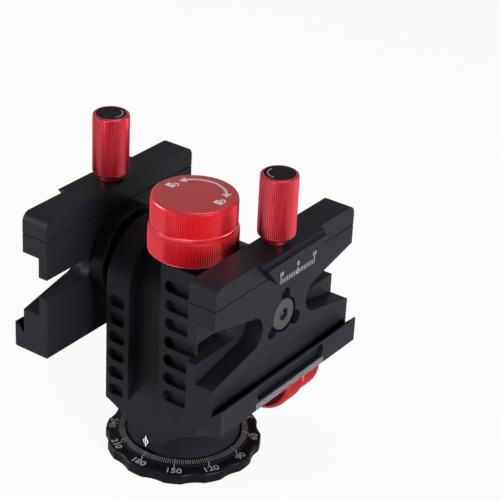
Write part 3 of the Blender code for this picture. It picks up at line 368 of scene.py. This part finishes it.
def join(pieces):
    """Makes one piece of several and returns it."""
    bpy.ops.object.select_all(action="DESELECT")
    for piece in pieces:
        piece.select_set(True)
    bpy.context.view_layer.objects.active = pieces[0]
    bpy.ops.object.join()
    return pieces[0]


def stamp(words, size, spot, reads, up, weight=0.03, widen=1.0):
    """Thin etched characters that read along one direction, with their tops towards another."""
    bpy.ops.object.select_all(action="DESELECT")
    bpy.ops.object.text_add()
    label = bpy.context.object
    label.data.body = words
    label.data.size = size / 1000
    label.data.align_x = "CENTER"
    label.data.align_y = "CENTER"
    label.data.extrude = 0.00002
    label.data.offset = weight / 1000
    label.data.resolution_u = 5
    bpy.ops.object.convert(target="MESH")
    reads, up = Vector(reads).normalized(), Vector(up).normalized()
    label.matrix_world = (Matrix.Translation(place(*spot))
                          @ Matrix((reads * widen, up, reads.cross(up))).transposed().to_4x4())
    bpy.ops.object.transform_apply(location=True, rotation=True, scale=True)
    return label


black_dial = black_turned("black_dial", (0, 0, 0), (0, 0, 1))


def etched_finish(name, color, second):
    """Laser-etched metal: a dull, light, slightly grainy mark."""
    recipe, where, sockets = finish_of(name, color, second, 0.6, 0.0, **{"Specular IOR Level": 0.2})
    grain = recipe.node("TexNoise", sockets={"Vector": where, "Scale": 9000.0})
    return close_finish(recipe, sockets, grain, 0.1, 0.00002)


etched = etched_finish("etched_grey", (0.24, 0.24, 0.26), (0.34, 0.34, 0.37))
etched_white = etched_finish("etched_white", (0.66, 0.64, 0.68), (0.78, 0.76, 0.80))

dial = ring([(8.9, 2.5), (14.3, 2.5), (14.3, 0.0), (25.8, 0.0), (26.3, 0.15), (26.5, 0.6), (26.5, 3.15),
             (26.35, 3.65), (25.9, 3.95), (25.1, 4.05), (22.65, 4.2), (22.45, 4.3), (22.4, 5.1), (22.25, 5.25),
             (19.75, 5.78), (19.6, 5.8), (19.5, 5.7), (19.5, 3.8), (8.9, 3.8)], 360)
bpy.context.view_layer.objects.active = dial
bpy.ops.object.mode_set(mode="EDIT")
for step in range(7, 16):
    share = (1 - ((15 - step) / 8.5) ** 2) * 0.9
    for low_radius, high_radius, depth in ((25.0, 25.2, 0.75), (25.7, 26.6, 1.0)):
        pick(lambda x, y, z: low_radius < math.hypot(x, y) < high_radius
             and abs(abs((math.degrees(math.atan2(y, x)) + 15) % 30 - 15) - step) < 0.4)
        inward = 1 - share * depth / 26.5
        bpy.ops.transform.resize(value=(inward, inward, 1), center_override=(0, 0, 0))
bpy.ops.object.mode_set(mode="OBJECT")
set_in(dial, (0, 0, 0))
ready(dial, "dial_ring", black_dial, "base", ["base_ring"], smooth=40)


def ticks_round(outline, width, count):
    """An etched line, drawn as (x, z) points in millimetres, repeated round the dial."""
    piece = pencil([Vector((x, -width / 2, z)) / 1000 for x, z in outline])
    bpy.ops.mesh.edge_face_add()
    bpy.ops.mesh.extrude_region_move(TRANSFORM_OT_translate={"value": (0, width / 1000, 0)})
    bpy.ops.mesh.select_all(action="SELECT")
    bpy.ops.mesh.spin(steps=count - 1, angle=math.radians(360 * (count - 1) / count), center=(0, 0, 0),
                      axis=(0, 0, 1), dupli=True)
    close_mesh()
    return piece


fine_ticks = ticks_round([(20.1, 5.60), (22.0, 5.20), (22.0, 5.33), (20.1, 5.73)], 0.12, 180)
long_ticks = ticks_round([(20.1, 5.62), (22.25, 5.1), (22.55, 4.3), (22.9, 4.15), (22.9, 4.24), (22.6, 4.40),
                          (22.44, 5.28), (20.1, 5.77)], 0.20, 12)
numbers = []
for number in range(0, 360, 30):
    angle = math.radians(90 - number)
    outward = Vector((math.cos(angle), math.sin(angle), 0))
    spot = outward * 24.35 + Vector((0, 0, 4.125))
    tilt = Vector((0, 0, 0.05))
    numbers.append(stamp(str(number), 3.4, spot, Vector((0, 0, 1)).cross(outward), tilt - outward, 0.05, 1.12))
marks = [set_in(piece, (0, 0, 0)) for piece in (fine_ticks, long_ticks)] + numbers
ready(join(marks), "dial_marks", etched, "base")

# Bearings and brakes inside: bronze washer, bushes and shoes, and steel screws. They are hidden and plain, so
# the CAD solids stay and only get their finish.

bronze = turned_finish("turned_bronze", (0.50, 0.34, 0.15), (0.57, 0.40, 0.19), 0.36, 1.0, (0, 0, 0), (0, 0, 1))
coat(bronze, "pan_thrust_washer", "pan_bush_lower", "pan_bush_upper", "tilt_bush_a", "tilt_bush_b")
coat(bronze, "tilt_upper_shoe", "tilt_lower_shoe", "pan_rear_shoe", "pan_front_shoe")
coat(steel, "tilt_lock_screw", "pan_lock_screw", "tilt_axle")

# Housing: one block of aluminium, milled to a round roof, then turned below to a hollow curve that runs down
# to the round foot. A groove wraps over the roof between two columns of pockets, and the whole is satin
# black.


def arc(middle, radius, start, end, steps):
    """Points on an arc, with its angles in degrees."""
    points = []
    for step in range(steps + 1):
        angle = math.radians(start + (end - start) * step / steps)
        points.append((middle[0] + radius * math.cos(angle), middle[1] + radius * math.sin(angle)))
    return points


def rod(centre, direction, radius, low, high, sides=64):
    """A round bar between two distances from the centre along its direction."""
    return set_in(turned([(0, low), (radius, low), (radius, high), (0, high)], sides), centre, direction)


black = black_finish("black_blasted")
half_width, half_depth, foot_height, roof_middle = 19.3, 18.8, 5.4, 62
axle_height = 64.5
tilt_lock_spot = (8.8, -9.9, 0)
pan_lock_spot = (12, 0, 20.9)
roof = [(-half_depth, foot_height)] + arc((0, roof_middle), half_depth, 180, 0, 72) + [(half_depth, foot_height)]
housing = slab([(-half_width, y, z) for y, z in roof], (2 * half_width, 0, 0))
apply(housing, "BEVEL", width=0.0007, segments=3, limit_method="ANGLE", angle_limit=math.radians(50))
shoulder_left, shoulder_right, shoulder_top = 3.1, 18.7, 78.5
shoulder = [(shoulder_left, -half_depth, roof_middle), (shoulder_right, -half_depth, roof_middle),
            (shoulder_right, -half_depth, shoulder_top), (shoulder_left, -half_depth, shoulder_top)]
carve(housing, slab(shoulder, (0, 16.8, 0)), "UNION")
carve(housing, rod(tilt_lock_spot, (0, 0, 1), 5.4, axle_height, 81.1), "UNION")
hollow = [(19.2, 3)] + arc((33.2, 6.8), 14, 180, 112, 28)
hollow += [(38.1, hollow[-1][1]), (38.1, 3)]
carve(housing, set_in(ring(hollow, 180), (0, 0, 0)))
carve(housing, rod(pan_lock_spot, (0, 1, 0), 5.4, 8.0, 22.5), "UNION")
groove_depth, groove_start, ramp_height, outside = 4.4, 21.2, 14.8, 20.8
ramp = [(half_depth - groove_depth * math.sin(step * math.pi / 16), groove_start + ramp_height * step / 8)
        for step in range(9)]
channel = [(-y, z) for y, z in ramp] + arc((0, roof_middle), 14.4, 180, 0, 60) + ramp[::-1]
channel += [(outside, groove_start)] + arc((0, roof_middle), outside, 0, 180, 60) + [(-outside, groove_start)]
carve(housing, slab([(-9.5, y, z) for y, z in channel], (12.6, 0, 0)))


def pocket(start, end, middle, low, high):
    """A pocket with a half-round left end and eased right corners."""
    half_height, corner, rise = 2.1, 0.9, 1.2
    outline = arc((start + half_height, middle), half_height, 270, 90, 12)
    outline += arc((end - corner, middle + rise), corner, 90, 0, 4)
    outline += arc((end - corner, middle - rise), corner, 0, -90, 4)
    return slab([(x, low, z) for x, z in outline], (0, high - low, 0))


first_row, row_pitch, pocket_floor = 23.4, 6.8, 16.9
for face in (-1, 1):
    for row in range(8):
        middle = first_row + row_pitch * row
        if row < 6:
            carve(housing, pocket(-18.1, -11.5, middle, face * outside, face * pocket_floor))
        if row > 0 and not (face > 0 and (middle < 32.7 or middle > roof_middle)):
            carve(housing, pocket(5.0, 17.3, middle, face * outside, face * pocket_floor))
carve(housing, rod((0, 0, axle_height), (1, 0, 0), 8.7, -21.3, 21.3))
carve(housing, rod((0, 0, 0), (0, 0, 1), 10.9, 3.4, axle_height))
carve(housing, rod(tilt_lock_spot, (0, 0, 1), 4.2, 51.9, 83.1))
carve(housing, rod(pan_lock_spot, (0, 1, 0), 4.2, -12.6, 24.5))
ready(housing, "housing_block", black, "housing_body", ["housing"], edge=0.22)

mark_ring = ring([(0.80, -0.3), (1.05, -0.3), (1.05, 0.02), (0.80, 0.02)], 48)
foot_angle = math.radians(-93.9)
foot_out = Vector((math.cos(foot_angle), math.sin(foot_angle), 0))
set_in(mark_ring, foot_out * 19.18 + Vector((0, 0, 8.8)), foot_out)
across = Vector((0, 0, 1)).cross(foot_out)
corners = [foot_out * 18.9 + across * side + Vector((0, 0, height))
           for side, height in ((-0.13, 6.8), (0.13, 6.8), (0.13, 10.9), (-0.13, 10.9))]
mark_line = slab([tuple(corner) for corner in corners], foot_out * 0.32)
ready(join([mark_ring, mark_line]), "index_mark", etched_white, "housing_body")

# Lock knobs: bright red anodised aluminium, turned in two tiers with a waist between and straight-knurled.
# Padlocks and a double arrow are etched white on their ends. The upper one locks the tilt, the rear one the
# pan.


def red_finish(name, color, second, roughness, centre, axis):
    """Turned aluminium under a clear, coloured anodic layer."""
    return turned_finish(name, color, second, roughness, 0.85, centre, axis, 0.12,
                         **{"Coat Weight": 1.0, "Coat Roughness": 0.30})


def knurl(ribs, depth, low, high, inner):
    """Presses V grooves, as deep as a share of the radius, into the turned piece between two heights."""
    bpy.ops.object.mode_set(mode="EDIT")
    for column, share in ((1, 0.5), (2, 1.0), (3, 0.5)):
        pick(lambda x, y, z: low < z < high and math.hypot(x, y) > inner
             and round(math.degrees(math.atan2(y, x)) * ribs / 90) % 4 == column)
        inward = 1 - depth * share
        bpy.ops.transform.resize(value=(inward, inward, 1), center_override=(0, 0, 0))
    bpy.ops.object.mode_set(mode="OBJECT")


lock_knob_ribs = 120


def lock_knob(neck_low):
    """The knob along Z with its foot face at zero."""
    knob = turned([(0, 12.3), (2.3, 12.3), (2.3, neck_low), (4.6, neck_low), (4.6, 0.0), (12.7, 0.0),
                   (13.3, 0.12), (14.1, 0.6), (14.4, 0.95), (14.5, 1.3), (14.5, 8.35), (14.4, 8.6), (13.75, 9.15),
                   (13.65, 9.25), (13.65, 10.05), (13.75, 10.15), (13.9, 10.5), (13.9, 18.35), (13.8, 18.85),
                   (13.55, 19.25), (13.2, 19.5), (12.8, 19.6), (0, 19.6)], 4 * lock_knob_ribs)
    knurl(lock_knob_ribs, 0.030, 1.2, 8.45, 14.2)
    knurl(lock_knob_ribs, 0.030, 10.4, 18.45, 13.6)
    return knob


def flat_mark(outline):
    """A thin sign lying at zero height, from an outline of (x, y) points."""
    return slab([(x, y - pan_y, 0) for x, y in outline], (0, 0, 0.04))


def padlock(x, y, open_side):
    """A padlock sign: a body with a keyhole, and a shackle that is shifted aside when open."""
    body = flat_mark([(x - 1.5, y - 1.1), (x + 1.5, y - 1.1), (x + 1.5, y + 0.9), (x - 1.5, y + 0.9)])
    hole = turned([(0, -1), (0.3, -1), (0.3, 1), (0, 1)], 20)
    hole.matrix_world = Matrix.Translation(Vector((x, y - 0.1, 0)) / 1000)
    carve(body, hole)
    middle = (x + 0.35 + 0.7 * open_side, y + 1.35)
    legs = 0.8 if open_side else 0.45
    outline = [(middle[0] + 1.05, y + legs)] + arc(middle, 1.05, 0, 180, 16) + [(middle[0] - 1.05, y + 0.45)]
    outline += [(middle[0] - 0.65, y + 0.45)] + arc(middle, 0.65, 180, 0, 16) + [(middle[0] + 0.65, y + legs)]
    return [body, flat_mark(outline)]


def on_circle(radius, degrees):
    """The (x, y) point of a circle round zero at an angle."""
    return radius * math.cos(math.radians(degrees)), radius * math.sin(math.radians(degrees))


def double_arrow():
    """An arc with a head at each end."""
    first, last, radius, half, head = 39, 144, 9.9, 0.42, 1.6
    outline = arc((0, 0), radius + half, first, last, 40)
    outline += [on_circle(radius + head, last), on_circle(radius, last + 13), on_circle(radius - head, last)]
    outline += arc((0, 0), radius - half, last, first, 40)
    outline += [on_circle(radius - head, first), on_circle(radius, first - 13), on_circle(radius + head, first)]
    return flat_mark(outline)


knob_places = {
    "tilt": ((tilt_lock_spot[0], tilt_lock_spot[1], 81.5), (0, 0, 1), -0.1, "tilt_lock"),
    "pan": ((pan_lock_spot[0], 24.0, pan_lock_spot[2]), (0, 1, 0), -1.2, "pan_lock"),
}
for lock, (centre, axis, neck_low, body) in knob_places.items():
    red = red_finish(f"red_{lock}_knob", (0.80, 0.016, 0.030), (0.86, 0.020, 0.036), 0.30, centre, axis)
    knob = set_in(lock_knob(neck_low), centre, axis)
    ready(knob, f"{lock}_knob_red", red, body, [f"{lock}_lock_knob"], smooth=24)
    signs = padlock(-9.4, -0.2, 1.0) + padlock(9.2, 0.1, 0.0) + [double_arrow()]
    crown = Vector(centre) + Vector(axis) * 19.59
    ready(set_in(join(signs), crown, axis), f"{lock}_knob_signs", etched_white, body)

# Tilt axle ends: bronze side washers and stepped hubs in black. The hubs carry the clamps, held by three pins
# each.

pin_circle, pin_hole = 7.6, 2.2
pin_spots = [(pin_circle * math.cos(math.radians(angle)), pin_circle * math.sin(math.radians(angle)))
             for angle in (90, 210, 330)]
for letter, side in (("a", -1), ("b", 1)):
    out = (side, 0, 0)
    centre = (0, 0, axle_height)
    hub_black = black_turned(f"black_hub_{letter}", centre, (1, 0, 0))
    washer = ring([(6.9, 19.6), (11.7, 19.6), (11.8, 19.7), (11.8, 20.3), (11.7, 20.4), (6.9, 20.4)])
    set_in(washer, centre, out)
    ready(washer, f"side_washer_{letter}", bronze, "cradle", [f"tilt_washer_{letter}"])
    hub = set_in(ring([(5.1, 20.7), (12.0, 20.7), (12.0, 22.2), (16.1, 22.2), (16.45, 22.35), (16.7, 22.6),
                       (16.8, 22.95), (16.8, 27.9), (5.1, 27.9)], 144), centre, out)
    for y, z in pin_spots:
        carve(hub, rod((0, y, axle_height + z), out, pin_hole, 24.7, 29.9, 40))
    ready(hub, f"clamp_hub_{letter}", hub_black, "cradle", [f"hub_{letter}"])
coat(steel, *[f"locating_pin_{letter}_{number}" for letter in "ab" for number in (1, 2, 3)])

# Clamp bodies: satin black bars with a fixed lower lip. Each end has a flared cutout, open to the end, with a
# slot through the thin wall behind it, and the lip's face has a long recess over an etched scale.


clamp_middle, inner_face, seat_face, lip_face = 33.3, 28.2, 38.3, 42.1
half_length, cut_end = 37.3, 39.3
mark_face, mark_depth = 42.05, 0.07


def tick(side, y, half, low, high):
    """One etched upright line on the outer face of a clamp lip."""
    corners = [(y - half, low), (y + half, low), (y + half, high), (y - half, high)]
    return slab([(side * mark_face, across, height) for across, height in corners], (side * mark_depth, 0, 0))


def open_end(end, middle, radius, wide, steps):
    """Half round towards the middle of the clamp, then straight out to its end."""
    outline = arc((end * middle, axle_height), radius, 90 * end, 90 * end + 180, steps)
    return outline + [(end * cut_end, axle_height - end * wide), (end * cut_end, axle_height + end * wide)]


for letter, side in (("a", -1), ("b", 1)):
    section = [(28.4, 81.6), (inner_face, 81.4), (inner_face, 39.1), (28.4, 38.9), (41.6, 38.9), (lip_face, 39.4),
               (lip_face, 48.0), (41.6, 48.0), (seat_face, 44.7), (seat_face, 81.6)]
    body = slab([(side * x, -half_length, z) for x, z in section], (0, 2 * half_length, 0))
    for end in (-1, 1):
        bow = open_end(end, 17.8, 6.0, 11.0, 28)
        carve(body, slab([(side * 31.6, y, z) for y, z in bow], (side * 12.5, 0, 0)))
        gap = open_end(end, 20.0, 3.6, 3.6, 16)
        carve(body, slab([(side * 26.2, y, z) for y, z in gap], (side * 14.1, 0, 0)))
    recess_half, recess_height, recess_end = 16.0, 44.8, 2.5
    recess = arc((-recess_half, recess_height), recess_end, 270, 90, 14)
    recess += arc((recess_half, recess_height), recess_end, 90, -90, 14)
    carve(body, slab([(side * 40.1, y, z) for y, z in recess], (side * 4.0, 0, 0)))
    bore = turned([(0, 26.2), (5.1, 26.2), (5.1, 30.0), (2.9, 30.0), (2.9, 33.9), (5.95, 33.9), (5.95, 40.3),
                   (0, 40.3)], 72)
    carve(body, set_in(bore, (0, 0, axle_height), (side, 0, 0)))
    for y, z in pin_spots:
        carve(body, rod((0, y, axle_height + z), (side, 0, 0), pin_hole, 26.2, 40.3, 40))
        carve(body, rod((0, y * 0.92, axle_height + z * 0.92), (side, 0, 0), 2.45, 36.2, 40.3, 40))
    carve(body, rod((side * clamp_middle, 0, 0), (0, 0, 1), 2.8, 74.8, 83.6, 40))
    for y, radius, low in ((-25, 1.8, 74.2), (25, 1.8, 74.2), (-9.5, 2.1, 74.8), (9.5, 2.1, 74.8)):
        carve(body, rod((side * clamp_middle, y, 0), (0, 0, 1), radius, low, 83.6, 32))
    ready(body, f"clamp_bar_{letter}", black, "cradle", [f"clamp_body_{letter}"], edge=0.25)
    scale = []
    for step in range(-37, 38):
        y = step * 0.5
        if abs(y) > 0.8:
            scale.append(tick(side, y, 0.09, 39.45, 41.75))
    scale.append(stamp("0", 2.3, (side * (mark_face + mark_depth), 0, 40.6), (0, side, 0), (0, 0, 1), 0.04))
    ready(join(scale), f"lip_scale_{letter}", etched, "cradle")

# Middle screws: steel socket-head screws with a washer. They draw each clamp and its hub onto the axle, and
# their heads stand in a recess of the clamp's seat.

for letter, side in (("a", -1), ("b", 1)):
    centre = (0, 0, axle_height)
    screw_steel = turned_finish(f"screw_steel_{letter}", (0.11, 0.11, 0.118), (0.15, 0.15, 0.158), 0.40, 1.0,
                                centre, (1, 0, 0))
    screw = turned([(0, 20.0), (2.6, 20.0), (2.6, 35.3), (5.6, 35.3), (5.6, 37.5), (5.35, 37.85), (5.0, 38.0),
                    (0, 38.0)], 96)
    set_in(screw, centre, (side, 0, 0))
    carve(screw, set_in(turned([(0, 35.8), (2.3, 36.3), (2.3, 40.3), (0, 40.3)], 6), centre, (side, 0, 0)))
    ready(screw, f"middle_screw_{letter}", screw_steel, "cradle", [f"centre_screw_{letter}"], edge=0.12)
coat(steel, "centre_washer_a", "centre_washer_b")

# Jaw springs: two coils of steel wire under each moving jaw, which open it when the knob is loosened. The CAD
# coils stay and only get their finish.

coat(steel, *[f"jaw_spring_{letter}_{end}" for letter in "ab" for end in ("front", "back")])

# Moving jaws: black bars with rounded top corners. Each has a gripping lip whose ends slope in towards its
# lower edge, with a scooped upper edge and a small etched scale. Two steel pins guide each jaw.

for letter, side in (("a", -1), ("b", 1)):
    outline = [(-half_length, 81.9)] + arc((-34.1, 85.9), 3.2, 180, 90, 12)
    outline += arc((34.1, 85.9), 3.2, 90, 0, 12) + [(half_length, 81.9)]
    jaw = slab([(side * inner_face, y, z) for y, z in outline], (side * 10.1, 0, 0))
    hook = [(36.3, 89.1), (39.9, 89.1), (40.25, 88.5), (40.8, 88.1), (41.5, 88.0), (lip_face, 88.1),
            (lip_face, 80.6), (41.6, 80.6), (seat_face, 83.9), (36.3, 83.9)]
    lip_half = 17.0
    lip = slab([(side * x, -lip_half, z) for x, z in hook], (0, 2 * lip_half, 0))
    bpy.context.view_layer.objects.active = lip
    bpy.ops.object.mode_set(mode="EDIT")
    for height in sorted({z for x, z in hook}):
        half = 9.7 + 7.3 * (height - 80.1) / 9.0
        pick(lambda x, y, z: abs(z - height) < 0.03)
        bpy.ops.transform.resize(value=(1, half / lip_half, 1), center_override=place(0, 0, 0))
    bpy.ops.object.mode_set(mode="OBJECT")
    carve(jaw, lip, "UNION")
    carve(jaw, rod((side * clamp_middle, 0, 0), (0, 0, 1), 2.8, 79.6, 91.1, 40))
    for y, radius, high in ((-25, 1.8, 86.8), (25, 1.8, 86.8), (-9.5, 2.1, 86.2), (9.5, 2.1, 86.2)):
        carve(jaw, rod((side * clamp_middle, y, 0), (0, 0, 1), radius, 79.6, high, 32))
    ready(jaw, f"jaw_bar_{letter}", black, f"jaw_{letter}", [f"moving_jaw_{letter}"], edge=0.3)
    scale = []
    for step in range(-10, 11):
        y, high = step * 0.91, 83.3 if step % 10 == 0 else 82.4
        if step:
            scale.append(tick(side, y, 0.13, 80.7, high))
    for low, high in ((80.7, 81.0), (82.1, 83.2)):
        scale.append(tick(side, 0, 0.13, low, high))
    for words, y in (("10", -8.9), ("0", 0.0), ("10", 8.9)):
        spot = (side * (mark_face + mark_depth), y, 84.1 + 0.25 * (y == 0))
        scale.append(stamp(words, 2.1, spot, (0, side, 0), (0, 0, 1), 0.04))
    dot = ring([(0.38, 0), (0.62, 0), (0.62, 0.07), (0.38, 0.07)], 24)
    scale.append(set_in(dot, (side * mark_face, 0, 81.55), (side, 0, 0)))
    ready(join(scale), f"jaw_scale_{letter}", etched, f"jaw_{letter}")
coat(steel, *[f"guide_pin_{letter}_{end}" for letter in "ab" for end in ("front", "back")])

# Clamp knobs: deep red anodised aluminium with fine straight knurling, on steel screws, with a black cap on
# top that carries an etched arc.

clamp_knob_ribs = 60
for letter, side in (("a", -1), ("b", 1)):
    centre = (side * clamp_middle, 0, 0)
    crimson = red_finish(f"crimson_knob_{letter}", (0.50, 0.012, 0.030), (0.56, 0.015, 0.036), 0.32, centre,
                         (0, 0, 1))
    knob = turned([(0, 108.8), (2.8, 108.8), (2.8, 89.4), (3.7, 89.4), (3.7, 89.9), (3.4, 90.1), (3.4, 90.7),
                   (3.7, 90.9), (3.7, 91.2), (5.0, 91.2), (5.3, 91.3), (5.95, 92.1), (6.1, 92.5), (6.1, 111.7),
                   (5.95, 112.15), (5.55, 112.45), (5.3, 112.5), (5.0, 112.5), (5.0, 111.5), (0, 111.5)],
                  4 * clamp_knob_ribs)
    knurl(clamp_knob_ribs, 0.05, 92.3, 111.9, 6.0)
    set_in(knob, centre)
    ready(knob, f"clamp_knob_red_{letter}", crimson, f"jaw_knob_{letter}",
          [f"clamp_knob_{letter}"], smooth=24)
    cap = set_in(turned([(0, 111.8), (4.7, 111.8), (4.7, 112.3), (4.5, 112.5), (0, 112.5)], 72), centre)
    ready(cap, f"knob_cap_black_{letter}", black_turned(f"black_cap_{letter}", centre, (0, 0, 1)),
          f"jaw_knob_{letter}", [f"knob_cap_{letter}"])
    start, end = ((-30, 75), (165, 275))[side > 0]
    sweep = arc((0, 0), 3.95, start, end, 24) + arc((0, 0), 3.5, end, start, 24)
    mark = set_in(flat_mark(sweep), (side * clamp_middle, 0, 112.48))
    ready(mark, f"cap_arc_{letter}", etched, f"jaw_knob_{letter}")
coat(steel, "clamp_screw_a", "clamp_screw_b")
